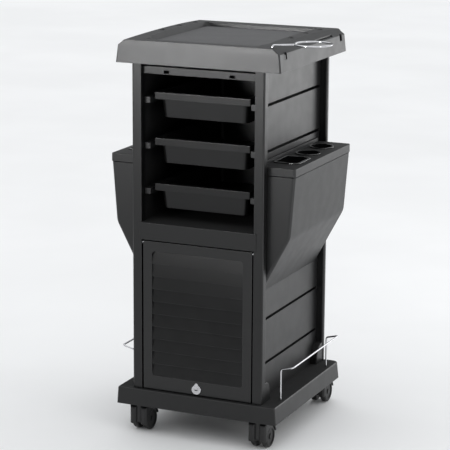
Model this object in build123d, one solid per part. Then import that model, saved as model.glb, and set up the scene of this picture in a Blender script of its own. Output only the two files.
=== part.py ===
"""Spa trolley cart: a moulded open cabinet on twin-wheel casters, with three
sliding trays over a louvred flap-door cupboard, a hooked-on bin on each side,
wire bottle rails on the base and a swing-out ring holder on the top cap.

Millimetres, +Z up, front of the trolley towards -Y. The solids are modelled
about the cabinet's own mid-plane and moved at export, so that the origin is
at the centre of the whole trolley's footprint, on the floor."""

from build123d import *
import os
from math import atan2, cos, radians, sin

# ---------------------------------------------------------------- cabinet
DECK_Z = 106.4            # top of the base platform
BASE_SKIRT_Z = 67.0       # lower edge of the base's skirt
BASE_HALF_BOTTOM = 196.0
BASE_HALF_TOP = 193.0
BASE_FRONT = -205.0
BASE_REAR_BOTTOM = 196.0
BASE_REAR_TOP = 191.5
BASE_WALL = 3.0
DECK_T = 4.4

POST_OUT = 158.5          # outer faces of the posts, from the mid-plane
POST_IN = 136.0           # inner faces: half of the front opening
POST_FRONT = -195.4
POST_FRONT_REAR = -173.5
POST_REAR_FRONT = 176.0
POST_REAR = 189.0
POST_TOP = 887.0
POST_EDGE_R = 4.0
FOOT_DEEP, FOOT_TALL = 34.0, 46.0
SCREW_D, SCREW_IN = 4.0, 20.0
SCREW_PLACES = [(x, y) for y in (-155.0, 157.0) for x in (-149.0, 149.0)]

PANEL_OUT = 140.5         # outer face of the slatted side panels
PANEL_T = 3.0
PANEL_TUCK = 3.0          # depth of the panel's edge inside each post
GROOVE_PITCH = 102.5
UPPER_GROOVES = [768.0 - GROOVE_PITCH * i for i in range(3)]
LOWER_GROOVES = [390.0 - GROOVE_PITCH * i for i in range(3)]
GROOVES = UPPER_GROOVES + LOWER_GROOVES
GROOVE_H = 6.6            # height of the groove seen outside
RUNNER_H = 13.0           # height of the ridge it makes inside
RUNNER_IN = 120.5         # inner face of the ridge
RUNNER_NOSE = -181.0      # front end of the ridge

BACK_Y0, BACK_Y1 = 180.0, 183.0

RAIL_Z0, RAIL_Z1 = 827.0, 843.0
RAIL_Y0, RAIL_Y1 = -186.0, -182.0
RAIL_SLOT_X = 78.5
RAIL_SLOT_W, RAIL_SLOT_H = 13.0, 7.0

BAND_Z0, BAND_Z1 = 454.8, 494.3
BAND_T = 9.0
BAND_LAP = 6.0            # the band's ends lap this far over the posts
BAND_LAP_T = 1.5
SHELF_T = 4.0

# ---------------------------------------------------------------- top cap
CAP_SKIRT_Z = 849.0
CAP_CREASE_Z = 888.0      # lower edge of the side chamfers
CAP_TOP_Z = 900.0
CAP_HALF_BOTTOM = 196.3
CAP_HALF_CREASE = 191.8
CAP_HALF_TOP = 176.0
CAP_FRONT_SKIRT, CAP_FRONT_CREASE, CAP_FRONT_TOP = -199.2, -197.4, -196.6
CAP_REAR = 195.0
CAP_CROWN = 5.5           # the side rims rise this much at mid-depth
CAP_WALL = 2.5
CAP_INNER_FRONT = -195.5  # inner face of the front wall, just clear of the posts
CAP_CORNER_R = 3.0
RECESS_HALF = 137.0
RECESS_HALF_TOP = 143.5
RECESS_FRONT, RECESS_REAR = -165.0, 156.0
RECESS_R_FRONT, RECESS_R_REAR = 34.0, 10.0
RECESS_Z = 890.0
MAT_T = 2.0
TOOL_HOLE_D = 9.0
TOOL_HOLE_X = 156.0
TOOL_HOLES_Y = (-46.0, 42.0, 130.0)
SIDE_NOTCH_W, SIDE_NOTCH_Z0 = 14.0, 875.0
SIDE_NOTCHES_Y = (-164.0, 167.0)
LONG_SLOT = (184.0, 189.0, 25.0, 125.0)   # the slot under each side chamfer: x and y limits
PEG_X, PEG_D = 149.0, 8.0                 # pegs that drop into the posts
BUSH_D = 9.0

# ---------------------------------------------------------------- trays
TRAY_HALF = 116.0
TRAY_FRONT, TRAY_REAR = -171.0, 168.0
TRAY_RISE = 17.0          # rim top above the runner's centre
TRAY_BAND = 16.0
TRAY_RIM_W = 10.0
TRAY_DEPTH = 57.0
TRAY_WALL = 2.2
TRAY_DRAFT = 5.0
TRAY_EAR = 129.0
TRAY_EAR_T = 2.6
RUN_GAP = 0.3             # sliding clearance

# ---------------------------------------------------------------- door
DOOR_HALF = 132.7
DOOR_Z0, DOOR_Z1 = 107.8, 452.6
DOOR_FRONT, DOOR_BACK = -195.2, -182.5
HINGE_Y, HINGE_Z = -190.5, 448.0
HINGE_PIN_D = 5.0
HINGE_PIN_IN, HINGE_PIN_OUT = 118.0, 143.0
LOUVRE_HALF = 111.0
LOUVRE_Z0, LOUVRE_Z1 = 140.0, 430.0
LOUVRES = 10
LOUVRE_DEEP, LOUVRE_SHALLOW = 6.6, 0.7
LOCK_Z = 121.4
BEZEL_D, BEZEL_T = 23.0, 3.0
BARREL_D, BARREL_BACK = 16.0, -164.5
PLUG_D = 11.0
NUT_AF, NUT_T = 22.0, 4.0
CAM_L, CAM_W, CAM_T = 17.8, 9.0, 2.0
CAM_SLOT = (26.0, 8.0)
CAM_Y = BARREL_BACK + CAM_T / 2 + 0.2
KEEPER = (38.0, 18.0, 1.2)

# ---------------------------------------------------------------- side bins
BIN_IN = 142.0
BIN_FRONT, BIN_REAR = -172.5, 164.5
BIN_BOTTOM_Z = 356.0
BIN_KNEE = (210.5, 484.0)
BIN_MOUTH = (221.0, 619.8)
BIN_WALL = 2.5
BIN_EDGE_R = 7.0
LID_OUT = 222.0
LID_Z0, LID_Z1 = 620.2, 640.0
LID_T = 3.0
LID_EDGE = 1.8            # chamfer round the lid's lower edge
LID_LIP = (2.5, 9.0)      # low fence along the lid's inner edge
TONGUE = (137.0, 3.6)     # how far in, and how thick, the hanging tongues are
CUP_X = 178.0
CUP_RISE = 2.5
CUP_WALL = 1.8
ROUND_CUPS_Y = (10.5, 97.0)
ROUND_CUP_D, ROUND_CUP_RIM, ROUND_CUP_DEPTH = 51.0, 57.0, 62.0
SQUARE_CUP = (55.0, 76.0)
SQUARE_CUP_Y, SQUARE_CUP_RIM, SQUARE_CUP_DEPTH = -81.5, 3.5, 52.0

# ---------------------------------------------------------------- wire parts
WIRE_D = 4.0
WIRE_LEG_X, WIRE_OUT_X = 182.0, 211.0
WIRE_Y0, WIRE_Y1 = -142.0, 138.0
WIRE_TOP_Z, WIRE_LEG_Z = 185.0, 178.0
WIRE_BEND = 6.0

RING_X, RING_Y, RING_Z = 241.0, -129.0, 906.3
RING_R, RING_WIRE_D = 40.5, 4.0
PIVOT_X, PIVOT_Y = 168.5, -181.0
PIN_LOW_Z = 868.0

# ---------------------------------------------------------------- casters
KING_X = 147.0
KING_FRONT, KING_REAR = -182.0, 177.0
TRAIL = 22.0              # the wheels' axle sits this far behind the stem
WHEEL_R = 25.0
WHEEL_W = 15.0
WHEEL_X = 13.2            # centre of each wheel from the caster's middle
AXLE_D = 6.0
STEM_D = 11.0
SOCKET_D = 18.0
CASTER_PLACES = [(x, y) for y in (KING_FRONT, KING_REAR) for x in (-KING_X, KING_X)]
CASTER_NAMES = ["front_left", "front_right", "rear_left", "rear_right"]
HOOD_TOP = 64.5           # top of the boss that turns under the stem's collar
HOOD_SHOULDER = 61.5
HOOD_FRONT = 34.5         # the apron's front, ahead of the axle
HOOD_HALF = 21.6
HOOD_R = 28.6
HOOD_CORNER_R = 6.5       # front corners of each of the cowl's two lobes, in plan
HOOD_LOWER = (18.0, 35.0) # height of the cowl's lower edge, 40 ahead of and behind the axle
HOOD_GAP = 1.4
HOOD_WEB = 5.1            # half the thickness of the wall between the wheels

CLEAR = 0.05              # radial running clearance


# ---------------------------------------------------------------- helpers
def block(x0, x1, y0, y1, z0, z1):
    """A box from its limits."""
    middle = Pos((x0 + x1) / 2, (y0 + y1) / 2, (z0 + z1) / 2)
    return middle * Box(x1 - x0, y1 - y0, z1 - z0)


def rod(x, y, z0, z1, d):
    """An upright cylinder."""
    return Pos(x, y, (z0 + z1) / 2) * Cylinder(d / 2, z1 - z0)


def rod_x(x0, x1, y, z, d):
    """A cylinder along X."""
    return Pos((x0 + x1) / 2, y, z) * Rot(0, 90, 0) * Cylinder(d / 2, x1 - x0)


def rod_y(x, y0, y1, z, d):
    """A cylinder along Y."""
    return Pos(x, (y0 + y1) / 2, z) * Rot(90, 0, 0) * Cylinder(d / 2, y1 - y0)


def along_x(points, x0, x1):
    """A closed YZ outline extruded along X."""
    face = make_face(Polyline(*points, close=True))
    return extrude(Plane.YZ.offset(x0) * face, amount=x1 - x0)


def along_y(face, y0, y1):
    """A face drawn in X and Z, extruded along Y."""
    return extrude(Plane.XZ.offset(-y1) * face, amount=y1 - y0)


def outline(half, y0, y1, r_front, r_rear, z):
    """A rounded rectangle about the mid-plane, at height z."""
    face = make_face(Polyline((-half, y0), (half, y0), (half, y1), (-half, y1), close=True))
    corners = face.vertices().sort_by(Axis.Y)
    face = fillet(corners[:2], r_front)
    corners = face.vertices().sort_by(Axis.Y)
    face = fillet([v for v in corners if abs(v.Y - y1) < 0.01], r_rear)
    return Pos(0, 0, z) * face


def shell_between(sections):
    """A ruled solid through stacked outlines."""
    return loft(sections, ruled=True)


def mirrored(shape):
    return mirror(shape, about=Plane.YZ)


def wire(points, bends, d):
    """A round wire along straight runs with the given bend radii."""
    path = FilletPolyline(*points, radius=bends)
    section = Plane(origin=points[0], z_dir=path % 0) * Circle(d / 2)
    return sweep(section, path=path)


PARTS = {}


# ---------------------------------------------------------------- base
def base_platform():
    outer = shell_between([
        outline(BASE_HALF_BOTTOM, BASE_FRONT, BASE_REAR_BOTTOM, 4, 11, BASE_SKIRT_Z),
        outline(BASE_HALF_TOP + 0.2, BASE_FRONT, BASE_REAR_TOP + 0.4, 4, 11, DECK_Z - 2.0),
        outline(BASE_HALF_TOP - 1.3, BASE_FRONT + 1.3, BASE_REAR_TOP - 1.0, 4, 11, DECK_Z),
    ])
    inner = shell_between([
        outline(BASE_HALF_BOTTOM - BASE_WALL, BASE_FRONT + BASE_WALL,
                BASE_REAR_BOTTOM - BASE_WALL, 2, 8, BASE_SKIRT_Z - 0.5),
        outline(BASE_HALF_TOP - BASE_WALL, BASE_FRONT + BASE_WALL,
                BASE_REAR_TOP - BASE_WALL, 2, 8, DECK_Z - DECK_T),
    ])
    shape = outer - inner
    for x, y in CASTER_PLACES:
        shape += rod(x, y, BASE_SKIRT_Z, DECK_Z - DECK_T + 0.5, SOCKET_D + 6)
        shape -= rod(x, y, BASE_SKIRT_Z - 1, DECK_Z - 1.4, SOCKET_D)
    for y in (-90.0, 0.0, 90.0):
        shape += block(-BASE_HALF_TOP + 4, BASE_HALF_TOP - 4, y - 1.2, y + 1.2,
                       DECK_Z - DECK_T - 8, DECK_Z - DECK_T + 0.5)
    for x, y in SCREW_PLACES:
        shape -= rod(x, y, DECK_Z - DECK_T - 1, DECK_Z + 1, SCREW_D)
    for side in (-1, 1):
        for y in (WIRE_Y0, WIRE_Y1):
            x = side * WIRE_LEG_X
            shape += rod(x, y, DECK_Z - 12, DECK_Z - DECK_T + 0.5, 9)
            shape -= rod(x, y, DECK_Z - 10, DECK_Z + 1, WIRE_D)
    return shape - block(-CAM_SLOT[0] / 2, CAM_SLOT[0] / 2, CAM_Y - CAM_SLOT[1] / 2,
                         CAM_Y + CAM_SLOT[1] / 2, DECK_Z - DECK_T - 1, DECK_Z + 1)


def caster_sockets():
    """Steel sleeves pressed up into the base's bosses, with a turned-out lip."""
    made = []
    for x, y in CASTER_PLACES:
        sleeve = rod(x, y, BASE_SKIRT_Z - 1.2, DECK_Z - 1.6, SOCKET_D)
        sleeve += rod(x, y, BASE_SKIRT_Z - 1.2, BASE_SKIRT_Z - 0.05, SOCKET_D + 5)
        made.append(sleeve - rod(x, y, BASE_SKIRT_Z - 2, DECK_Z - 3.0, STEM_D))
    return made


def caster_stems():
    """Steel stems held in the sleeves, each with a collar that the hood turns under."""
    made = []
    for x, y in CASTER_PLACES:
        stem = rod(x, y, 34.0, DECK_Z - 3.2, STEM_D)
        stem += rod(x, y, HOOD_TOP + 0.2, BASE_SKIRT_Z - 1.25, STEM_D + 6)
        stem = chamfer(stem.edges().group_by(Axis.Z)[-1], 2.0)
        made.append(stem)
    return made


def frame_screws():
    """Pan-head screws from under the deck up into the four posts."""
    made = []
    for x, y in SCREW_PLACES:
        low = DECK_Z - DECK_T
        head = rod(x, y, low - 2.6, low, SCREW_D * 2)
        head = fillet(head.edges().group_by(Axis.Z)[0], 1.2)
        head -= block(x - 2.6, x + 2.6, y - 0.5, y + 0.5, low - 3, low - 1.5)
        head -= block(x - 0.5, x + 0.5, y - 2.6, y + 2.6, low - 3, low - 1.5)
        made.append(head + rod(x, y, low, DECK_Z + SCREW_IN, SCREW_D))
    return made


# ---------------------------------------------------------------- posts and walls
def foot_outline(y_start, direction):
    """Quarter-round foot that swells from a post down onto the deck."""
    steps = 6
    deep, tall = FOOT_DEEP, FOOT_TALL
    curve = []
    for i in range(steps + 1):
        t = radians(90.0 * i / steps)
        curve.append((y_start + direction * deep * sin(t) ** 0.8, DECK_Z + tall * cos(t) ** 0.8))
    return [(y_start, DECK_Z)] + curve


def post(y0, y1, foot_at, foot_dir):
    """Right-hand post with the groove that holds the side panel's edge."""
    shape = block(POST_IN, POST_OUT, y0, y1, DECK_Z, POST_TOP)
    upright = shape.edges().filter_by(Axis.Z)
    outer = [e for e in upright if abs(e.center().X - POST_OUT) < 0.1]
    shape = fillet(outer, POST_EDGE_R)
    foot = along_x(foot_outline(foot_at, foot_dir), PANEL_OUT + 0.2, POST_OUT - 1.5)
    foot = fillet(foot.edges().filter_by(Axis.X, reverse=True).filter_by(
        lambda e: abs(e.center().X - (POST_OUT - 1.5)) < 0.1
        and abs(e.center().Z - DECK_Z) > 1 and abs(e.center().Y - foot_at) > 1), 2.5)
    shape += foot
    tuck0 = min(foot_at, foot_at - foot_dir * PANEL_TUCK)
    tuck1 = max(foot_at, foot_at - foot_dir * PANEL_TUCK)
    shape -= block(PANEL_OUT - PANEL_T, PANEL_OUT, tuck0, tuck1, DECK_Z - 1, POST_TOP + 1)
    peg_y = (y0 + y1) / 2
    shape -= rod(PEG_X, peg_y, POST_TOP - 18, POST_TOP + 1, PEG_D)
    for x, y in SCREW_PLACES:
        if x > 0 and abs(y - foot_at) < FOOT_DEEP:
            shape -= rod(x, y, DECK_Z - 1, DECK_Z + SCREW_IN, SCREW_D)
    return shape


def front_post():
    shape = post(POST_FRONT, POST_FRONT_REAR, POST_FRONT_REAR, 1)
    shape -= rod_x(POST_IN - 1, HINGE_PIN_OUT + 0.3, HINGE_Y, HINGE_Z, HINGE_PIN_D + 2 * CLEAR)
    return shape


def rear_post():
    shape = post(POST_REAR_FRONT, POST_REAR, POST_REAR_FRONT, -1)
    shape -= block(POST_IN - 1, POST_IN + 2.0, BACK_Y0, BACK_Y1, DECK_Z - 1, POST_TOP + 1)
    return shape


def side_panel():
    """Right-hand slatted panel: each groove outside is a tray runner inside."""
    y0 = POST_FRONT_REAR - PANEL_TUCK
    y1 = POST_REAR_FRONT + PANEL_TUCK
    top = POST_TOP
    shape = block(PANEL_OUT - PANEL_T, PANEL_OUT, y0, y1, DECK_Z, top)
    for z in GROOVES:
        ridge = block(RUNNER_IN, PANEL_OUT - PANEL_T + 0.5, POST_FRONT_REAR + 0.5,
                      POST_REAR_FRONT - 0.5, z - RUNNER_H / 2, z + RUNNER_H / 2)
        nose = block(RUNNER_IN, POST_IN - 0.5, RUNNER_NOSE, POST_FRONT_REAR + 1,
                     z - RUNNER_H / 2, z + RUNNER_H / 2)
        inner = [e for e in nose.edges().filter_by(Axis.Z) if e.center().Y < RUNNER_NOSE + 1]
        ridge += fillet(inner, 2.0)
        shape += ridge
        wall = (RUNNER_H - GROOVE_H) / 2
        shape -= block(RUNNER_IN + wall, PANEL_OUT + 1, POST_FRONT_REAR + 1.5,
                       POST_REAR_FRONT - 1.5, z - GROOVE_H / 2, z + GROOVE_H / 2)
    return shape


def back_panel():
    shape = block(-POST_IN - 2.0, POST_IN + 2.0, BACK_Y0, BACK_Y1, DECK_Z, POST_TOP)
    for z0, z1 in ((DECK_Z + 30, BAND_Z0 - 20), (BAND_Z1 + 20, CAP_SKIRT_Z - 20)):
        rib = block(-100, 100, BACK_Y1 - 0.5, BACK_Y1 + 2.5, z0, z1)
        rib = chamfer(rib.faces().sort_by(Axis.Y)[-1].edges(), 2.4)
        shape += rib
    return shape


def top_rail():
    shape = block(-POST_IN, POST_IN, RAIL_Y0, RAIL_Y1, RAIL_Z0, RAIL_Z1)
    shape += block(-POST_IN, POST_IN, RAIL_Y0, RAIL_Y1 + 10, RAIL_Z1 - 3, RAIL_Z1)
    for side in (-1, 1):
        x = side * RAIL_SLOT_X
        shape -= block(x - RAIL_SLOT_W / 2, x + RAIL_SLOT_W / 2, RAIL_Y0 - 1, RAIL_Y1 + 1,
                       RAIL_Z0 + 2, RAIL_Z0 + 2 + RAIL_SLOT_H)
    return shape


def divider_shelf():
    shape = block(-POST_IN, POST_IN, POST_FRONT, POST_FRONT + BAND_T, BAND_Z0, BAND_Z1)
    wide = POST_IN + BAND_LAP
    lap = block(-wide, wide, POST_FRONT - BAND_LAP_T, POST_FRONT, BAND_Z0, BAND_Z1)
    shape += fillet(lap.faces().sort_by(Axis.Y)[0].edges(), 1.0)
    inside = PANEL_OUT - PANEL_T
    shape += block(-POST_IN, POST_IN, POST_FRONT + BAND_T - 1, BACK_Y0,
                   BAND_Z1 - SHELF_T, BAND_Z1)
    shape += block(-inside, inside, POST_FRONT_REAR + 1, POST_REAR_FRONT - 1,
                   BAND_Z1 - SHELF_T, BAND_Z1)
    for x in (-70.0, 0.0, 70.0):
        shape += block(x - 1.2, x + 1.2, POST_FRONT + BAND_T - 1, BACK_Y0 - 4,
                       BAND_Z1 - 16, BAND_Z1 - SHELF_T + 0.5)
    return shape


# ---------------------------------------------------------------- top cap
def crown():
    """Right-hand side rim: a shallow arch along the depth of the cap."""
    y0, y1 = CAP_FRONT_TOP + 0.1, CAP_REAR - 1.0
    arch = ThreePointArc((y0, CAP_TOP_Z - 0.4), ((y0 + y1) / 2, CAP_TOP_Z + CAP_CROWN),
                         (y1, CAP_TOP_Z - 0.4))
    edge = Polyline((y1, CAP_TOP_Z - 0.4), (y1, CAP_TOP_Z - 4), (y0, CAP_TOP_Z - 4),
                    (y0, CAP_TOP_Z - 0.4))
    face = make_face([arch, edge])
    shape = extrude(Plane.YZ.offset(RECESS_HALF - 4) * face, amount=CAP_HALF_TOP + 12 - RECESS_HALF)
    slope = (CAP_HALF_CREASE - CAP_HALF_TOP) / (CAP_TOP_Z - CAP_CREASE_Z)
    low, high = CAP_TOP_Z - 6, CAP_TOP_Z + 10
    x_low, x_high = CAP_HALF_TOP + 6 * slope, CAP_HALF_TOP - 10 * slope
    outside = make_face(Polyline((x_low, low), (x_high, high), (x_low + 40, high),
                                 (x_low + 40, low), close=True))
    return shape - along_y(outside, CAP_FRONT_SKIRT - 5, CAP_REAR + 5)


def top_cap():
    outer = shell_between([
        outline(CAP_HALF_BOTTOM, CAP_FRONT_SKIRT, CAP_REAR + 0.5, CAP_CORNER_R, 4, CAP_SKIRT_Z),
        outline(CAP_HALF_CREASE, CAP_FRONT_CREASE, CAP_REAR, CAP_CORNER_R, 4, CAP_CREASE_Z),
        outline(CAP_HALF_TOP, CAP_FRONT_TOP, CAP_REAR - 1.0, CAP_CORNER_R, 4, CAP_TOP_Z),
    ])
    rim = crown()
    shape = outer + rim + mirrored(rim)
    lean = (RECESS_HALF_TOP - RECESS_HALF) / (CAP_TOP_Z + CAP_CROWN - RECESS_Z)
    high = CAP_TOP_Z + CAP_CROWN + 2
    grow = lean * (high - RECESS_Z)
    shape -= shell_between([
        outline(RECESS_HALF, RECESS_FRONT, RECESS_REAR, RECESS_R_FRONT, RECESS_R_REAR, RECESS_Z),
        outline(RECESS_HALF + grow, RECESS_FRONT - grow, RECESS_REAR + grow * 0.4,
                RECESS_R_FRONT + grow, RECESS_R_REAR + grow * 0.4, high),
    ])
    shape -= shell_between([
        outline(CAP_HALF_BOTTOM - CAP_WALL, CAP_INNER_FRONT, CAP_REAR - CAP_WALL,
                2, 2, CAP_SKIRT_Z - 0.5),
        outline(CAP_HALF_CREASE - CAP_WALL, CAP_INNER_FRONT, CAP_REAR - CAP_WALL,
                2, 2, POST_TOP - 3),
    ])
    deck_low = RECESS_Z - CAP_WALL
    shape -= block(-RECESS_HALF - 34, RECESS_HALF + 34, CAP_INNER_FRONT,
                   CAP_REAR - CAP_WALL, POST_TOP - 4, deck_low)
    for side in (-1, 1):
        for y in TOOL_HOLES_Y:
            shape -= rod(side * TOOL_HOLE_X, y, CAP_TOP_Z - 8, CAP_TOP_Z + 12, TOOL_HOLE_D)
        for y in SIDE_NOTCHES_Y:
            x0, x1 = sorted((side * (CAP_HALF_CREASE - 5), side * (CAP_HALF_BOTTOM + 5)))
            shape -= block(x0, x1, y - SIDE_NOTCH_W / 2, y + SIDE_NOTCH_W / 2,
                           SIDE_NOTCH_Z0, CAP_CREASE_Z + 2)
        x0, x1 = sorted((side * LONG_SLOT[0], side * LONG_SLOT[1]))
        shape -= block(x0, x1, LONG_SLOT[2], LONG_SLOT[3], CAP_TOP_Z - 14, CAP_TOP_Z)
    for side in (-1, 1):
        for y in ((POST_FRONT + POST_FRONT_REAR) / 2, (POST_REAR_FRONT + POST_REAR) / 2):
            shape += rod(side * PEG_X, y, POST_TOP - 16, POST_TOP + 2, PEG_D - 2 * CLEAR)
    shape += rod(PIVOT_X, PIVOT_Y, PIN_LOW_Z - 2, POST_TOP + 2, BUSH_D + 5)
    shape -= rod(PIVOT_X, PIVOT_Y, PIN_LOW_Z, CAP_TOP_Z + 6, BUSH_D)
    return shape


def top_mat():
    inset = 0.8
    face = outline(RECESS_HALF - inset, RECESS_FRONT + inset, RECESS_REAR - inset,
                   RECESS_R_FRONT - inset, RECESS_R_REAR - inset, RECESS_Z)
    return extrude(face, amount=MAT_T)


def ring_bush():
    top = CAP_TOP_Z + 1.6
    shape = rod(PIVOT_X, PIVOT_Y, PIN_LOW_Z, top, BUSH_D)
    shape -= rod(PIVOT_X, PIVOT_Y, PIN_LOW_Z + 1.5, top + 1, RING_WIRE_D + 2 * CLEAR)
    return shape


def ring_holder():
    """One bent and welded wire: an upright pin, a stem and a horizontal ring."""
    angle = atan2(RING_Y - PIVOT_Y, RING_X - PIVOT_X)
    near = (RING_X - RING_R * cos(angle), RING_Y - RING_R * sin(angle), RING_Z)
    pin = wire([(PIVOT_X, PIVOT_Y, PIN_LOW_Z + 1.8), (PIVOT_X, PIVOT_Y, RING_Z), near],
               5.0, RING_WIRE_D)
    hoop = Pos(RING_X, RING_Y, RING_Z) * Torus(RING_R, RING_WIRE_D / 2)
    return pin + hoop


# ---------------------------------------------------------------- trays
def tray(runner_z):
    """A drop-in tub with a deep rolled rim and ears that slide on the runners."""
    top = runner_z + TRAY_RISE
    tub_half = TRAY_HALF - TRAY_RIM_W
    tub0, tub1 = TRAY_FRONT + TRAY_RIM_W, TRAY_REAR - TRAY_RIM_W
    low = top - TRAY_DEPTH
    shape = extrude(outline(TRAY_HALF, TRAY_FRONT, TRAY_REAR, 3, 5, top - TRAY_BAND),
                    amount=TRAY_BAND)
    shape = fillet(shape.faces().sort_by(Axis.Z)[-1].edges(), 1.4)
    wall = TRAY_WALL
    shape -= extrude(outline(TRAY_HALF - wall, TRAY_FRONT + wall, TRAY_REAR - wall, 1.5, 3,
                             top - TRAY_BAND - 1), amount=TRAY_BAND + 1 - wall)
    shape += shell_between([
        outline(tub_half - TRAY_DRAFT, tub0 + TRAY_DRAFT, tub1 - TRAY_DRAFT, 12, 12, low),
        outline(tub_half, tub0, tub1, 12, 12, top - 0.8),
    ])
    shape -= shell_between([
        outline(tub_half - TRAY_DRAFT - wall, tub0 + TRAY_DRAFT + wall, tub1 - TRAY_DRAFT - wall,
                10, 10, low + wall),
        outline(tub_half - wall, tub0 + wall, tub1 - wall, 10, 10, top + 1),
    ])
    ear0 = runner_z + RUNNER_H / 2 + RUN_GAP
    ear = block(TRAY_HALF - 1, TRAY_EAR, TRAY_FRONT + 22, TRAY_REAR, ear0, ear0 + TRAY_EAR_T)
    corner = [e for e in ear.edges().filter_by(Axis.Z) if e.center().X > TRAY_EAR - 1]
    ear = fillet(corner, 4.0)
    return shape + ear + mirrored(ear)


# ---------------------------------------------------------------- door and lock
def louvre_cuts():
    """Clapboard slats: each starts deep under the one above and runs out flush."""
    pitch = (LOUVRE_Z1 - LOUVRE_Z0) / LOUVRES
    cuts = None
    for i in range(LOUVRES):
        z0 = LOUVRE_Z0 + i * pitch
        z1 = z0 + pitch
        cut = along_x([(DOOR_FRONT - 2, z0), (DOOR_FRONT + LOUVRE_SHALLOW, z0),
                       (DOOR_FRONT + LOUVRE_DEEP, z1), (DOOR_FRONT - 2, z1)],
                      -LOUVRE_HALF - 1, LOUVRE_HALF + 1)
        cuts = cut if cuts is None else cuts + cut
    middle = (LOUVRE_Z0 + LOUVRE_Z1) / 2
    face = Pos(0, middle) * RectangleRounded(2 * LOUVRE_HALF, LOUVRE_Z1 - LOUVRE_Z0, 8)
    return cuts & along_y(face, DOOR_FRONT - 3, DOOR_BACK)


def door_panel():
    shape = block(-DOOR_HALF, DOOR_HALF, DOOR_FRONT, DOOR_BACK, DOOR_Z0, DOOR_Z1)
    shape = fillet(shape.faces().sort_by(Axis.Y)[0].edges(), 1.5)
    back_top = [e for e in shape.edges().filter_by(Axis.X)
                if e.center().Y > DOOR_BACK - 0.1 and e.center().Z > DOOR_Z1 - 0.1]
    shape = fillet(back_top, 3.0)
    shape -= louvre_cuts()
    shape -= block(-122, 122, DOOR_BACK - 3.6, DOOR_BACK + 1, 145, 436)
    shape -= rod_y(0, DOOR_FRONT - 1, DOOR_BACK + 1, LOCK_Z, BARREL_D)
    for side in (-1, 1):
        x0, x1 = sorted((side * HINGE_PIN_IN, side * (DOOR_HALF + 1)))
        shape -= rod_x(x0, x1, HINGE_Y, HINGE_Z, HINGE_PIN_D)
    return shape


def door_pins():
    made = []
    for side in (-1, 1):
        x0, x1 = sorted((side * HINGE_PIN_IN, side * HINGE_PIN_OUT))
        made.append(rod_x(x0, x1, HINGE_Y, HINGE_Z, HINGE_PIN_D))
    return made


def lock_barrel():
    shape = rod_y(0, DOOR_FRONT - BEZEL_T, DOOR_FRONT, LOCK_Z, BEZEL_D)
    shape = fillet(shape.edges().sort_by(Axis.Y)[0], 1.6)
    lobe = rod_y(0, DOOR_FRONT - BEZEL_T + 0.6, DOOR_FRONT, LOCK_Z + BEZEL_D / 2 - 0.8, 9.0)
    shape += fillet(lobe.edges().sort_by(Axis.Y)[0], 1.4)
    shape += rod_y(0, DOOR_FRONT, BARREL_BACK, LOCK_Z, BARREL_D)
    return shape - rod_y(0, DOOR_FRONT - BEZEL_T - 1, BARREL_BACK + 1, LOCK_Z, PLUG_D)


def lock_nut():
    face = Pos(0, LOCK_Z) * RegularPolygon(NUT_AF / 2, 6, major_radius=False)
    shape = along_y(face, DOOR_BACK, DOOR_BACK + NUT_T)
    return shape - rod_y(0, DOOR_BACK - 1, DOOR_BACK + NUT_T + 1, LOCK_Z, BARREL_D)


def lock_plug():
    front = DOOR_FRONT - BEZEL_T - 0.5
    shape = rod_y(0, front, BARREL_BACK + 0.2, LOCK_Z, PLUG_D - 2 * CLEAR)
    shape += block(-2.5, 2.5, BARREL_BACK, BARREL_BACK + 0.2 + CAM_T, LOCK_Z - 2.5, LOCK_Z + 2.5)
    shape -= block(-4.2, 4.2, front - 1, front + 9, LOCK_Z - 0.9, LOCK_Z + 0.9)
    shape -= block(-1.2, 1.2, front - 1, front + 9, LOCK_Z - 1.8, LOCK_Z)
    return shape - rod_y(0, BARREL_BACK - 8, BARREL_BACK + 4, LOCK_Z, 3.0)


def lock_cam():
    """A flat finger on the plug's square, lying sideways when unlocked."""
    y0, y1 = BARREL_BACK + 0.2, BARREL_BACK + 0.2 + CAM_T
    reach = CAM_L - CAM_W / 2
    face = Pos(reach / 2, LOCK_Z) * SlotCenterToCenter(reach, CAM_W)
    shape = along_y(face, y0, y1)
    return shape - block(-2.5, 2.5, y0 - 1, y1 + 1, LOCK_Z - 2.5, LOCK_Z + 2.5)


def lock_screw():
    y0 = BARREL_BACK + 0.2 + CAM_T
    shape = rod_y(0, y0, y0 + 1.8, LOCK_Z, 7.0)
    shape -= block(-3.0, 3.0, y0 + 1.0, y0 + 3, LOCK_Z - 0.5, LOCK_Z + 0.5)
    return shape + rod_y(0, BARREL_BACK - 6, y0, LOCK_Z, 3.0)


def lock_keeper():
    w, d, t = KEEPER
    shape = block(-w / 2, w / 2, CAM_Y - d / 2, CAM_Y + d / 2, DECK_Z, DECK_Z + t)
    shape = fillet(shape.edges().filter_by(Axis.Z), 3.0)
    return shape - block(-CAM_SLOT[0] / 2, CAM_SLOT[0] / 2, CAM_Y - CAM_SLOT[1] / 2,
                         CAM_Y + CAM_SLOT[1] / 2, DECK_Z - 1, DECK_Z + t + 1)


# ---------------------------------------------------------------- bins and lids
def bin_face(inset, top):
    """Section of a bin in X and Z, drawn inwards by inset."""
    lean = (BIN_MOUTH[0] - BIN_KNEE[0]) / (BIN_MOUTH[1] - BIN_KNEE[1])
    mouth_x = BIN_MOUTH[0] + lean * (top - BIN_MOUTH[1]) - inset
    face = make_face(Polyline(
        (BIN_IN + inset, BIN_BOTTOM_Z + 3.2 * inset), (BIN_KNEE[0] - inset, BIN_KNEE[1] + 0.5 * inset),
        (mouth_x, top), (BIN_IN + inset, top), close=True))
    knee = face.vertices().sort_by(Axis.Y)[1]
    return fillet(knee, 40)


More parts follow.
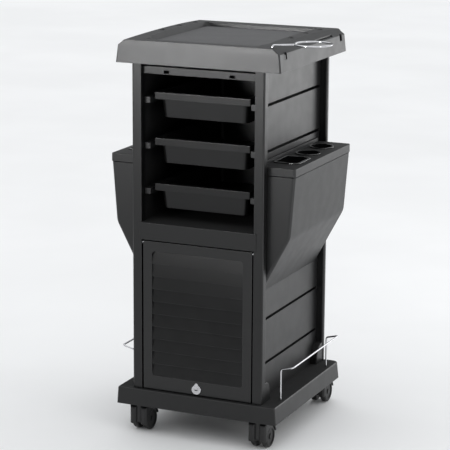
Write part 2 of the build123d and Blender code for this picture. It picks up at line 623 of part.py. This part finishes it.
def side_bin():
    """Right-hand bin, hung by two tongues in the side panel's grooves."""
    outer = along_y(bin_face(0, BIN_MOUTH[1]), BIN_FRONT, BIN_REAR)
    ends = [e for e in outer.edges()
            if e.center().X > BIN_IN + 5 and abs(e.center().Z - BIN_MOUTH[1]) > 1
            and (e.center().Y < BIN_FRONT + 0.1 or e.center().Y > BIN_REAR - 0.1)]
    outer = fillet(ends, BIN_EDGE_R)
    inner = along_y(bin_face(BIN_WALL, BIN_MOUTH[1] + 5), BIN_FRONT + BIN_WALL, BIN_REAR - BIN_WALL)
    shape = outer - inner
    for z in (UPPER_GROOVES[2], LOWER_GROOVES[0]):
        shape += block(TONGUE[0], BIN_IN + 1, BIN_FRONT + 20, BIN_REAR - 20,
                       z - TONGUE[1] / 2, z + TONGUE[1] / 2)
    return shape


def bin_lid():
    """Right-hand lift-off lid with three cup openings and a locating skirt."""
    length = BIN_REAR - BIN_FRONT
    middle_x, middle_y = (BIN_IN + LID_OUT) / 2, (BIN_REAR + BIN_FRONT) / 2
    face = Pos(middle_x, middle_y, LID_Z0) * RectangleRounded(LID_OUT - BIN_IN, length + 1, 5)
    shape = extrude(face, amount=LID_Z1 - LID_Z0)
    shape = fillet(shape.faces().sort_by(Axis.Z)[-1].edges(), 2.0)
    shape = chamfer(shape.faces().sort_by(Axis.Z)[0].edges(), LID_EDGE)
    face = Pos(middle_x, middle_y, LID_Z0 - 1) * RectangleRounded(
        LID_OUT - BIN_IN - 2 * BIN_WALL - 2, length + 1 - 2 * BIN_WALL - 2, 3)
    shape -= extrude(face, amount=LID_Z1 - LID_Z0 + 1 - LID_T)
    skirt_w = LID_OUT - BIN_IN - 2 * BIN_WALL - 4
    skirt_l = length - 2 * BIN_WALL - 2
    shift = Pos(middle_x - 1.0, middle_y, LID_Z0 - 8)
    skirt = extrude(shift * RectangleRounded(skirt_w, skirt_l, 4), amount=LID_Z1 - LID_Z0 + 7)
    skirt -= extrude(shift * RectangleRounded(skirt_w - 4, skirt_l - 4, 3), amount=60)
    shape += skirt
    lip_w, lip_h = LID_LIP
    shape += block(BIN_IN, BIN_IN + lip_w, BIN_FRONT + 6, BIN_REAR - 6, LID_Z1 - 3, LID_Z1 + lip_h)
    for y in ROUND_CUPS_Y:
        shape -= rod(CUP_X, y, LID_Z0 - 10, LID_Z1 + 5, ROUND_CUP_D + 2 * CLEAR)
    shape -= extrude(Pos(CUP_X, SQUARE_CUP_Y, LID_Z0 - 10) * RectangleRounded(
        SQUARE_CUP[0] + 2 * CLEAR, SQUARE_CUP[1] + 2 * CLEAR, 8), amount=40)
    return shape


def round_cup(y):
    """A glossy cup with a raised bead round its mouth."""
    top = LID_Z1 + CUP_RISE
    shape = rod(CUP_X, y, LID_Z1 - ROUND_CUP_DEPTH, top - 0.5, ROUND_CUP_D)
    rim = rod(CUP_X, y, LID_Z1, top, ROUND_CUP_RIM)
    shape += fillet(rim.edges().sort_by(Axis.Z)[-1], 1.2)
    inner = ROUND_CUP_D - 2 * CUP_WALL
    return shape - rod(CUP_X, y, LID_Z1 - ROUND_CUP_DEPTH + CUP_WALL, top + 1, inner)


def square_cup():
    top = LID_Z1 + CUP_RISE
    w, d = SQUARE_CUP
    low = LID_Z1 - SQUARE_CUP_DEPTH
    place = Pos(CUP_X, SQUARE_CUP_Y, low)
    shape = extrude(place * RectangleRounded(w, d, 8), amount=top - 0.5 - low)
    rim_place = Pos(CUP_X, SQUARE_CUP_Y, LID_Z1)
    rim = extrude(rim_place * RectangleRounded(w + 2 * SQUARE_CUP_RIM, d + 2 * SQUARE_CUP_RIM, 10),
                  amount=CUP_RISE)
    shape += fillet(rim.faces().sort_by(Axis.Z)[-1].edges(), 1.2)
    hollow = Pos(CUP_X, SQUARE_CUP_Y, low + CUP_WALL)
    inner = RectangleRounded(w - 2 * CUP_WALL, d - 2 * CUP_WALL, 6.2)
    return shape - extrude(hollow * inner, amount=SQUARE_CUP_DEPTH + 10)


# ---------------------------------------------------------------- wire rails
def wire_rail():
    """Right-hand rail: two legs in the deck, kicked out to one long bar."""
    low = DECK_Z - 9.5
    points = [
        (WIRE_LEG_X, WIRE_Y0, low), (WIRE_LEG_X, WIRE_Y0, WIRE_LEG_Z),
        (WIRE_OUT_X, WIRE_Y0, WIRE_TOP_Z), (WIRE_OUT_X, WIRE_Y1, WIRE_TOP_Z),
        (WIRE_LEG_X, WIRE_Y1, WIRE_LEG_Z), (WIRE_LEG_X, WIRE_Y1, low),
    ]
    return wire(points, WIRE_BEND, WIRE_D)


# ---------------------------------------------------------------- casters
def hood_lobe(x, side, axle_y):
    """The cowl over one wheel: a rounded apron in front, a fender behind."""
    front = axle_y - HOOD_FRONT
    profile = make_face(Polyline(
        (front, 10), (front, HOOD_SHOULDER), (axle_y - 9, HOOD_SHOULDER),
        (axle_y + 12, 50.5), (axle_y + 12, 10), close=True))
    shoulder = [v for v in profile.vertices() if v.Y > HOOD_SHOULDER - 1]
    profile = fillet(shoulder, 8)
    x0, x1 = sorted((x + side * HOOD_WEB, x + side * HOOD_HALF))
    shape = extrude(Plane.YZ.offset(x0) * profile, amount=x1 - x0)
    shape += rod_x(x0, x1, axle_y, WHEEL_R, 2 * HOOD_R)
    plan = outline((x1 - x0) / 2, front, axle_y + HOOD_R, HOOD_CORNER_R, 2.0, -5)
    return shape & extrude(Pos((x0 + x1) / 2, 0, 0) * plan, amount=HOOD_TOP + 10)


def caster_hood(x, y):
    """Swivelling yoke: a cowl over each wheel, a web between them, a stem boss."""
    axle_y = y + TRAIL
    shape = block(x - HOOD_WEB, x + HOOD_WEB, axle_y - 30, axle_y, 22, HOOD_SHOULDER - 3)
    shape += rod_x(x - HOOD_WEB, x + HOOD_WEB, axle_y, WHEEL_R, 2 * HOOD_R - 6)
    shape += rod(x, y, 26, HOOD_TOP, STEM_D + 9)
    pocket = WHEEL_R + HOOD_GAP
    for side in (-1, 1):
        shape += hood_lobe(x, side, axle_y)
        x0, x1 = sorted((x + side * HOOD_WEB, x + side * (HOOD_HALF + 5)))
        shape -= rod_x(x0, x1, axle_y, WHEEL_R, 2 * pocket)
    cut = [(axle_y - 40, -6), (axle_y - 40, HOOD_LOWER[0]),
           (axle_y + 40, HOOD_LOWER[1]), (axle_y + 40, -6)]
    shape -= along_x(cut, x - 30, x + 30)
    shape += rod_x(x - HOOD_WEB, x + HOOD_WEB, axle_y, WHEEL_R, 20)
    shape -= rod_x(x - 30, x + 30, axle_y, WHEEL_R, AXLE_D)
    return shape - rod(x, y, 32.0, HOOD_TOP + 1, STEM_D + 2 * CLEAR)


def caster_axle(x, y):
    half = WHEEL_X + WHEEL_W / 2 - 1.5
    return rod_x(x - half, x + half, y + TRAIL, WHEEL_R, AXLE_D)


def caster_wheel(x, y, side):
    """One wheel: rounded tread, dished outer face, bore for the fixed axle."""
    axle_y = y + TRAIL
    cx = x + side * WHEEL_X
    shape = rod_x(cx - WHEEL_W / 2, cx + WHEEL_W / 2, axle_y, WHEEL_R, 2 * WHEEL_R)
    rims = [e for e in shape.edges() if e.geom_type == GeomType.CIRCLE]
    shape = fillet(rims, 4.5)
    outer = cx + side * WHEEL_W / 2
    x0, x1 = sorted((outer - side * 2.0, outer + side * 1))
    shape -= rod_x(x0, x1, axle_y, WHEEL_R, 2 * WHEEL_R - 14) - rod_x(
        x0 - 1, x1 + 1, axle_y, WHEEL_R, 13)
    x0, x1 = sorted((outer - side * 1.2, outer - side * (WHEEL_W + 1)))
    return shape - rod_x(x0, x1, axle_y, WHEEL_R, AXLE_D + 2 * CLEAR)


# ---------------------------------------------------------------- assembly
def build():
    add = PARTS.__setitem__
    add("base_platform", base_platform())
    add("caster_sockets", caster_sockets())
    add("caster_stems", caster_stems())
    add("frame_screws", frame_screws())
    pairs = {"front_post": front_post(), "rear_post": rear_post(), "side_panel": side_panel(),
             "wire_rail": wire_rail(), "side_bin": side_bin(), "bin_lid": bin_lid(),
             "square_cup": square_cup()}
    for place, y in zip(("front", "rear"), ROUND_CUPS_Y):
        pairs[f"round_cup_{place}"] = round_cup(y)
    for name, shape in pairs.items():
        add(f"{name}_right", shape)
        add(f"{name}_left", mirrored(shape))
    add("back_panel", back_panel())
    add("top_rail", top_rail())
    add("divider_shelf", divider_shelf())
    add("top_cap", top_cap())
    add("top_mat", top_mat())
    add("ring_bush", ring_bush())
    add("ring_holder", ring_holder())
    for name, z in zip(("top", "middle", "bottom"), UPPER_GROOVES):
        add(f"tray_{name}", tray(z))
    add("door_panel", door_panel())
    add("door_pins", door_pins())
    add("lock_barrel", lock_barrel())
    add("lock_nut", lock_nut())
    add("lock_plug", lock_plug())
    add("lock_cam", lock_cam())
    add("lock_screw", lock_screw())
    add("lock_keeper", lock_keeper())
    for name, (x, y) in zip(CASTER_NAMES, CASTER_PLACES):
        add(f"caster_hood_{name}", caster_hood(x, y))
        add(f"caster_axle_{name}", caster_axle(x, y))
        add(f"wheel_a_{name}", caster_wheel(x, y, -1))
        add(f"wheel_b_{name}", caster_wheel(x, y, 1))


def solids_of(made):
    return made if isinstance(made, list) else made.solids()


def footprint_centre():
    """Middle of the box around the whole trolley, seen from above."""
    boxes = [solid.bounding_box() for made in PARTS.values() for solid in solids_of(made)]
    x = (min(box.min.X for box in boxes) + max(box.max.X for box in boxes)) / 2
    y = (min(box.min.Y for box in boxes) + max(box.max.Y for box in boxes)) / 2
    return round(x, 2), round(y, 2)


def write():
    os.makedirs("parts", exist_ok=True)
    x, y = footprint_centre()
    shift = Pos(-x, -y, 0)
    for name, made in PARTS.items():
        solids = solids_of(made)
        if len(solids) == 1:
            shape = shift * solids[0]
        else:
            shape = Compound(children=[shift * solid for solid in solids])
        export_step(shape, f"parts/{name}.step")
    print("nodes", len(PARTS), "centre", x, y)


build()
write()
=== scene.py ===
"""Looks of the spa trolley cart: moulded black plastics, chrome wire, gloss cups,
a pebbled mat, twin-wheel casters, a pale studio floor and soft boxes."""

import math

import bpy
from mathutils import Matrix, Vector


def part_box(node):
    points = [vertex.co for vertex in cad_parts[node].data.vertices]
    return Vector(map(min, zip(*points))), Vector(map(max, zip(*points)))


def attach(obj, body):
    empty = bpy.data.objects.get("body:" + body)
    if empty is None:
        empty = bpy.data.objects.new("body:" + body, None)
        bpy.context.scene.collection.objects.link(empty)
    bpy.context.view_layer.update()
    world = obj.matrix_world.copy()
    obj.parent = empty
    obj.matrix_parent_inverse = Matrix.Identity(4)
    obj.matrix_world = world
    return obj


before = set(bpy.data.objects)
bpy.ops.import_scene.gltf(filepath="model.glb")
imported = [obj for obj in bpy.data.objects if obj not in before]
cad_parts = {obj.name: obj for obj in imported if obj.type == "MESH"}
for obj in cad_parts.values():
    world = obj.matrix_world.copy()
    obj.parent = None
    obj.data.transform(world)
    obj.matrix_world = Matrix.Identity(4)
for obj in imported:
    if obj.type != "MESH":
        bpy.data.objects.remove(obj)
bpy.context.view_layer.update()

MM = 0.001
SIDES = ("left", "right")
CASTERS = ("front_left", "front_right", "rear_left", "rear_right")


# ---------------------------------------------------------------- materials
BEVEL_SAMPLES = 4
OPEN_REACH = 4 * MM               # how far the open-air test looks
OPEN_LOW, OPEN_HIGH = 0.55, 0.95  # closed corner to open edge
TURN_LOW, TURN_HIGH = 0.015, 0.28 # how far a rounded edge turns before it gets the painted highlight
POLISH = 0.10                     # how much smoother an edge under the painted highlight is
FINE_GRAIN, COARSE_GRAIN = 1500.0, 420.0


class Graph:
    """A material and short names for building its node graph."""

    def __init__(self, name):
        self.material = bpy.data.materials.new(name)
        self.material.use_nodes = True
        self.tree = self.material.node_tree
        self.shader = self.tree.nodes["Principled BSDF"]
        self.place = self.node("ShaderNodeTexCoord").outputs["Object"]

    def node(self, kind, **settings):
        made = self.tree.nodes.new(kind)
        for key, value in settings.items():
            setattr(made, key, value)
        return made

    def link(self, source, target):
        self.tree.links.new(source, target)

    def set(self, **values):
        for key, value in values.items():
            self.shader.inputs[key.replace("_", " ")].default_value = value

    def stretched(self, scale):
        mapping = self.node("ShaderNodeMapping")
        mapping.inputs["Scale"].default_value = scale
        self.link(self.place, mapping.inputs["Vector"])
        return mapping.outputs["Vector"]

    def noise(self, scale, detail=2.0, place=None):
        made = self.node("ShaderNodeTexNoise")
        made.inputs["Scale"].default_value = scale
        made.inputs["Detail"].default_value = detail
        self.link(place or self.place, made.inputs["Vector"])
        return made.outputs["Fac"]

    def spread(self, source, low, high, to_low, to_high):
        made = self.node("ShaderNodeMapRange")
        made.interpolation_type = "SMOOTHSTEP"
        for name, value in zip(("From Min", "From Max", "To Min", "To Max"),
                               (low, high, to_low, to_high)):
            made.inputs[name].default_value = value
        self.link(source, made.inputs["Value"])
        return made.outputs["Result"]

    def math(self, operation, first, second):
        made = self.node("ShaderNodeMath", operation=operation)
        for socket, value in zip(made.inputs, (first, second)):
            if isinstance(value, (int, float)):
                socket.default_value = value
            else:
                self.link(value, socket)
        return made.outputs["Value"]

    def blend(self, factor, first, second):
        made = self.node("ShaderNodeMix", data_type="RGBA")
        self.link(factor, made.inputs["Factor"])
        for socket, value in ((made.inputs[6], first), (made.inputs[7], second)):
            if isinstance(value, tuple):
                socket.default_value = (*value, 1.0)
            else:
                self.link(value, socket)
        return made.outputs[2]

    def bump(self, height, distance, strength=1.0, normal=None):
        made = self.node("ShaderNodeBump")
        made.inputs["Distance"].default_value = distance
        made.inputs["Strength"].default_value = strength
        self.link(height, made.inputs["Height"])
        if normal is not None:
            self.link(normal, made.inputs["Normal"])
        return made.outputs["Normal"]

    def rounded(self, radius):
        made = self.node("ShaderNodeBevel", samples=BEVEL_SAMPLES)
        made.inputs["Radius"].default_value = radius
        return made.outputs["Normal"]

    def edges(self, rounded_normal, low, high):
        """1 on the model's outer edges, 0 on flats and in corners."""
        faces = self.node("ShaderNodeNewGeometry").outputs["Normal"]
        dot = self.node("ShaderNodeVectorMath", operation="DOT_PRODUCT")
        self.link(rounded_normal, dot.inputs[0])
        self.link(faces, dot.inputs[1])
        turned = self.math("SUBTRACT", 1.0, dot.outputs["Value"])
        open_air = self.node("ShaderNodeAmbientOcclusion", samples=BEVEL_SAMPLES)
        open_air.inputs["Distance"].default_value = OPEN_REACH
        outer = self.spread(open_air.outputs["AO"], OPEN_LOW, OPEN_HIGH, 0.0, 1.0)
        return self.math("MULTIPLY", self.spread(turned, low, high, 0.0, 1.0), outer)


def grey(value):
    return (value, value, value * 1.03)


def moulded(name, tone, roughness, edge_r=0.9 * MM, grain=0.02 * MM, painted_highlight_gain=3.2,
            sheen=0.5, matt_top=0.0):
    """Satin moulded plastic: spark-eroded grain, faint flow marks, a painted highlight on the
    outer edges, which are also smoother, and, where matt_top is set, a duller texture on the
    faces that point up."""
    g = Graph(name)
    g.set(Specular_IOR_Level=sheen)
    flow = g.noise(7.0, 3.0)
    body = g.blend(g.spread(flow, 0.3, 0.7, 0.0, 1.0), grey(tone * 0.94), grey(tone * 1.07))
    # Painted highlight: patchy noise sets how strongly the outer edges' colour is lightened by
    # the given factor; the same noise varies the roughness, and those edges are made smoother.
    highlight_and_roughness_patches = g.noise(34.0, 5.0)
    normal = g.rounded(edge_r)
    edge_highlight_and_polish = g.edges(normal, TURN_LOW, TURN_HIGH)
    edge_highlight_and_polish = g.math("MULTIPLY", edge_highlight_and_polish, g.spread(highlight_and_roughness_patches, 0.30, 0.65, 0.45, 1.0))
    g.link(g.blend(edge_highlight_and_polish, body, grey(tone * painted_highlight_gain)), g.shader.inputs["Base Color"])
    rough = g.spread(highlight_and_roughness_patches, 0.3, 0.7, roughness - 0.02, roughness + 0.025)
    rough = g.math("SUBTRACT", rough, g.math("MULTIPLY", edge_highlight_and_polish, POLISH))
    if matt_top:
        up = g.node("ShaderNodeSeparateXYZ")
        g.link(g.node("ShaderNodeNewGeometry").outputs["Normal"], up.inputs["Vector"])
        rough = g.math("ADD", rough, g.spread(up.outputs["Z"], 0.55, 0.9, 0.0, matt_top))
    g.link(rough, g.shader.inputs["Roughness"])
    fine = g.noise(FINE_GRAIN, 2.0)
    coarse = g.noise(COARSE_GRAIN, 1.0)
    height = g.math("ADD", fine, g.math("MULTIPLY", coarse, 0.8))
    g.link(g.bump(height, grain, 0.6, normal), g.shader.inputs["Normal"])
    return g.material


def gloss(name, tone, roughness=0.05):
    """High-gloss moulded plastic with faint swirl marks and a little dust."""
    g = Graph(name)
    dust = g.noise(420.0, 6.0)
    specks = g.spread(dust, 0.62, 0.78, 0.0, 0.22)
    g.link(g.blend(specks, grey(tone), grey(tone * 5)), g.shader.inputs["Base Color"])
    swirl = g.noise(75.0, 5.0, g.stretched((1.0, 2.4, 1.0)))
    g.link(g.spread(swirl, 0.35, 0.72, roughness, roughness + 0.09), g.shader.inputs["Roughness"])
    waviness = g.noise(28.0, 1.0)
    g.link(g.bump(waviness, 0.06 * MM, 0.5, g.rounded(0.5 * MM)), g.shader.inputs["Normal"])
    g.set(Coat_Weight=0.5, Coat_Roughness=0.03)
    return g.material


def plated(name, tone, roughness, scratch=0.10):
    """Bright plating with fine drawing marks and a few dull spots."""
    g = Graph(name)
    g.set(Metallic=1.0)
    spots = g.noise(130.0, 6.0)
    tint = g.blend(g.spread(spots, 0.45, 0.75, 0.0, 1.0), grey(tone), grey(tone * 0.86))
    g.link(tint, g.shader.inputs["Base Color"])
    marks = g.noise(900.0, 3.0, g.stretched((1.0, 1.0, 0.12)))
    g.link(g.spread(marks, 0.35, 0.75, roughness, roughness + scratch),
           g.shader.inputs["Roughness"])
    g.link(g.bump(marks, 0.006 * MM, 0.5, g.rounded(0.3 * MM)), g.shader.inputs["Normal"])
    return g.material


def zinc(name):
    """Zinc-plated steel: crystalline mottling under a dull sheen."""
    g = Graph(name)
    g.set(Metallic=1.0)
    cells = g.node("ShaderNodeTexVoronoi")
    cells.inputs["Scale"].default_value = 320.0
    g.link(g.place, cells.inputs["Vector"])
    tone = g.spread(cells.outputs["Distance"], 0.1, 0.7, 0.0, 1.0)
    g.link(g.blend(tone, grey(0.50), grey(0.62)), g.shader.inputs["Base Color"])
    g.link(g.spread(g.noise(240.0, 4.0), 0.3, 0.7, 0.28, 0.42), g.shader.inputs["Roughness"])
    g.link(g.bump(g.noise(1100.0, 2.0), 0.01 * MM, 0.5), g.shader.inputs["Normal"])
    return g.material


def pebbled(name, tone):
    """Rubbery mat: close pebble grain, dust in the hollows."""
    g = Graph(name)
    cells = g.node("ShaderNodeTexVoronoi")
    cells.inputs["Scale"].default_value = 620.0
    g.link(g.place, cells.inputs["Vector"])
    pebble = cells.outputs["Distance"]
    cloud = g.noise(16.0, 5.0)
    base = g.blend(g.spread(cloud, 0.3, 0.7, 0.0, 1.0), grey(tone * 0.88), grey(tone * 1.15))
    g.link(g.blend(g.spread(pebble, 0.35, 0.75, 0.0, 0.6), base, grey(tone * 1.5)),
           g.shader.inputs["Base Color"])
    g.link(g.spread(cloud, 0.3, 0.7, 0.62, 0.74), g.shader.inputs["Roughness"])
    g.link(g.bump(pebble, 0.12 * MM, 0.7), g.shader.inputs["Normal"])
    return g.material


def painted_floor():
    """Pale studio floor, very slightly mottled."""
    g = Graph("studio_floor")
    cloud = g.noise(1.3, 4.0)
    g.link(g.blend(g.spread(cloud, 0.3, 0.7, 0.0, 1.0), (0.86, 0.86, 0.86), (0.90, 0.90, 0.90)),
           g.shader.inputs["Base Color"])
    g.link(g.spread(g.noise(60.0, 3.0), 0.3, 0.7, 0.75, 0.85), g.shader.inputs["Roughness"])
    return g.material


# Each plastic's edge factor sets how many times lighter than its tone its painted edge highlight
# is.
CAP = moulded("cap_satin_black", 0.022, 0.40, edge_r=1.3 * MM, painted_highlight_gain=3.2, matt_top=0.25)
BODY = moulded("cabinet_satin_black", 0.004, 0.34, edge_r=1.3 * MM, painted_highlight_gain=16.0, sheen=0.45,
               matt_top=0.5)
PANEL = moulded("side_panel_satin_black", 0.010, 0.38)
DOOR = moulded("door_satin_black", 0.004, 0.30, edge_r=1.0 * MM, painted_highlight_gain=26.0, sheen=0.5)
BIN = moulded("bin_satin_black", 0.007, 0.42, edge_r=1.2 * MM, matt_top=0.25)
TRAY = moulded("tray_satin_black", 0.003, 0.32, edge_r=1.0 * MM, sheen=0.34, painted_highlight_gain=20.0)
CASTER = moulded("caster_black", 0.006, 0.40, edge_r=0.9 * MM)
WHEEL = moulded("wheel_black", 0.007, 0.48, edge_r=0.6 * MM, grain=0.03 * MM)
BUSH = moulded("bush_black", 0.016, 0.5, edge_r=0.4 * MM)
CUP = gloss("cup_gloss_black", 0.006, 0.035)
CHROME = plated("chrome_wire", 0.62, 0.05)
LOCK = plated("lock_nickel", 0.58, 0.20)
ZINC = zinc("zinc_steel")
MAT = pebbled("mat_pebbled", 0.060)


# ---------------------------------------------------------------- carried-over CAD nodes
def paired(*stems):
    return [f"{stem}_{side}" for stem in stems for side in SIDES]


def at_casters(*stems):
    return [f"{stem}_{place}" for stem in stems for place in CASTERS]


FINISH = {
    CAP: ["top_cap"],
    BODY: ["base_platform", "back_panel", "top_rail", "divider_shelf",
           *paired("front_post", "rear_post")],
    PANEL: paired("side_panel"),
    DOOR: ["door_panel"],
    BIN: paired("side_bin", "bin_lid"),
    TRAY: ["tray_top", "tray_middle", "tray_bottom"],
    CASTER: at_casters("caster_hood"),
    WHEEL: at_casters("wheel_a", "wheel_b"),
    BUSH: ["ring_bush"],
    CUP: paired("square_cup", "round_cup_front", "round_cup_rear"),
    CHROME: ["ring_holder", *paired("wire_rail")],
    LOCK: ["lock_barrel", "lock_plug"],
    ZINC: ["caster_sockets", "caster_stems", "frame_screws", "door_pins", "lock_nut", "lock_cam",
           "lock_screw", "lock_keeper", *at_casters("caster_axle")],
    MAT: ["top_mat"],
}


def finish_nodes():
    for material, names in FINISH.items():
        for name in names:
            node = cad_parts[name]
            node.data.materials.clear()
            node.data.materials.append(material)


# ---------------------------------------------------------------- lips of the tool sockets
POST_FRONT = 0.1954          # from the posts' front face back to the cabinet's mid-plane
RIM_SOCKETS_X = 0.156        # from the cap's mid-plane
RIM_SOCKETS_Y = (-0.046, 0.042, 0.130)
RIM_Y0, RIM_Y1 = -0.1965, 0.194
RIM_ENDS_Z, RIM_MIDDLE_Z = 0.8996, 0.9055
LIP_PROFILE = [(4.4, -1.0), (4.4, 0.9), (4.8, 1.4), (5.6, 1.6), (6.3, 1.2), (6.6, 0.5),
               (6.6, -1.0)]
LIP_SEGMENTS = 48


def turned_ring(name, profile, material):
    """A ring turned from a closed profile of radius and height, in millimetres."""
    mesh = bpy.data.meshes.new(name)
    count = len(profile)
    points, faces = [], []
    for i in range(LIP_SEGMENTS):
        a = 2 * math.pi * i / LIP_SEGMENTS
        points += [(r * MM * math.cos(a), r * MM * math.sin(a), z * MM) for r, z in profile]
        here, after = i * count, (i + 1) % LIP_SEGMENTS * count
        for j in range(count):
            k = (j + 1) % count
            faces.append((here + j, after + j, after + k, here + k))
    mesh.from_pydata(points, [], faces)
    mesh.polygons.foreach_set("use_smooth", [True] * len(faces))
    mesh.materials.append(material)
    made = bpy.data.objects.new(name, mesh)
    bpy.context.scene.collection.objects.link(made)
    return made


def rim_height(y):
    """Height of the cap's arched side rim, and its slope, at a distance from the mid-plane."""
    middle, half = (RIM_Y0 + RIM_Y1) / 2, (RIM_Y1 - RIM_Y0) / 2
    rise = RIM_MIDDLE_Z - RIM_ENDS_Z
    t = (y - middle) / half
    return RIM_ENDS_Z + rise * (1 - t * t), -2 * rise * t / half


def socket_lips():
    cap_low, cap_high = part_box("top_cap")
    middle_x = (cap_low[0] + cap_high[0]) / 2
    plane_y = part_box("front_post_right")[0][1] + POST_FRONT
    for side, sign in zip(SIDES, (-1, 1)):
        for number, y in enumerate(RIM_SOCKETS_Y, 1):
            z, slope = rim_height(y)
            lip = turned_ring(f"socket_lip_{side}_{number}", LIP_PROFILE, BUSH)
            lip.location = (middle_x + sign * RIM_SOCKETS_X, plane_y + y, z)
            lip.rotation_euler.x = math.atan(slope)
            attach(lip, "cabinet")


# ---------------------------------------------------------------- studio
FLOOR_HALF = 40.0
SKY_TONE = (0.97, 0.985, 1.0, 1.0)
# Brightness (low, high) along a direction, eased between two cosines from it.
CEILING = {"low": 0.16, "high": 1.17, "along": (0, 0, 1), "start": 0.12, "end": 0.62}
SIDE_GLOW = {"low": 0.0, "high": 0.8, "along": (0.62, 0.78, -0.05), "start": 0.70, "end": 0.98}
# Name, place, aim, width, height, watts, spread in degrees.
SOFT_BOXES = [
    ("front_high", (-0.85, -2.2, 1.06), (0, -0.2, 0.86), 0.9, 0.25, 1.0, 24),
    ("rear_right", (1.25, 2.3, 0.60), (0.1, 0, 0.60), 1.0, 0.6, 5.5, 180),
    ("edge_right", (2.3, -1.1, 0.50), (0.1, 0, 0.50), 0.3, 1.0, 7, 180),
]


def floor():
    half = FLOOR_HALF
    mesh = bpy.data.meshes.new("studio_floor")
    corners = [(-half, -half, 0), (half, -half, 0), (half, half, 0), (-half, half, 0)]
    mesh.from_pydata(corners, [], [(0, 1, 2, 3)])
    made = bpy.data.objects.new("studio_floor", mesh)
    mesh.materials.append(painted_floor())
    bpy.context.scene.collection.objects.link(made)


def soft_box(name, place, aim, width, height, power, spread):
    lamp = bpy.data.lights.new(name, "AREA")
    lamp.shape = "RECTANGLE"
    lamp.size, lamp.size_y = width, height
    lamp.energy = power
    lamp.spread = math.radians(spread)
    made = bpy.data.objects.new(name, lamp)
    made.location = place
    made.rotation_euler = (Vector(aim) - Vector(place)).to_track_quat("-Z", "Y").to_euler()
    bpy.context.scene.collection.objects.link(made)


def sky_glow(tree, low, high, along, start, end):
    """Brightness of the surroundings, eased between two values along a direction."""
    around = tree.nodes.new("ShaderNodeTexCoord")
    dot = tree.nodes.new("ShaderNodeVectorMath")
    dot.operation = "DOT_PRODUCT"
    dot.inputs[1].default_value = Vector(along).normalized()
    ramp = tree.nodes.new("ShaderNodeMapRange")
    ramp.interpolation_type = "SMOOTHSTEP"
    for name, value in zip(("From Min", "From Max", "To Min", "To Max"), (start, end, low, high)):
        ramp.inputs[name].default_value = value
    tree.links.new(around.outputs["Generated"], dot.inputs[0])
    tree.links.new(dot.outputs["Value"], ramp.inputs["Value"])
    return ramp.outputs["Result"]


def studio():
    floor()
    world = bpy.data.worlds.new("studio")
    world.use_nodes = True
    tree = world.node_tree
    sky = tree.nodes["Background"]
    sky.inputs["Color"].default_value = SKY_TONE
    total = tree.nodes.new("ShaderNodeMath")
    for socket, glow in zip(total.inputs, (CEILING, SIDE_GLOW)):
        tree.links.new(sky_glow(tree, **glow), socket)
    tree.links.new(total.outputs["Value"], sky.inputs["Strength"])
    bpy.context.scene.world = world
    bpy.context.scene.view_settings.view_transform = "Standard"
    for box in SOFT_BOXES:
        soft_box(*box)


# ---------------------------------------------------------------- camera
AZIMUTH, ELEVATION, ROLL = 24.0, 13.09, 0.352
DISTANCE = 4.415
LENS = 153.8
AIM = Vector((-0.01925, 0.0015, 0.45787))   # from the middle of the top cap, at floor level


def camera():
    cap_low, cap_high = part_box("top_cap")
    middle = (cap_low + cap_high) / 2
    target = Vector((middle.x, middle.y, 0)) + AIM
    a, e, r = (math.radians(v) for v in (AZIMUTH, ELEVATION, ROLL))
    back = Vector((math.sin(a) * math.cos(e), -math.cos(a) * math.cos(e), math.sin(e)))
    level = Vector((0, 0, 1)).cross(back).normalized()
    up = back.cross(level)
    right = math.cos(r) * level + math.sin(r) * up
    top = math.cos(r) * up - math.sin(r) * level
    data = bpy.data.cameras.new("camera")
    data.sensor_width = 36.0
    data.lens = LENS
    made = bpy.data.objects.new("camera", data)
    turn = Matrix((right, top, back)).transposed()
    made.matrix_world = Matrix.Translation(target + back * DISTANCE) @ turn.to_4x4()
    bpy.context.scene.collection.objects.link(made)
    bpy.context.scene.camera = made


finish_nodes()
socket_lips()
studio()
camera()
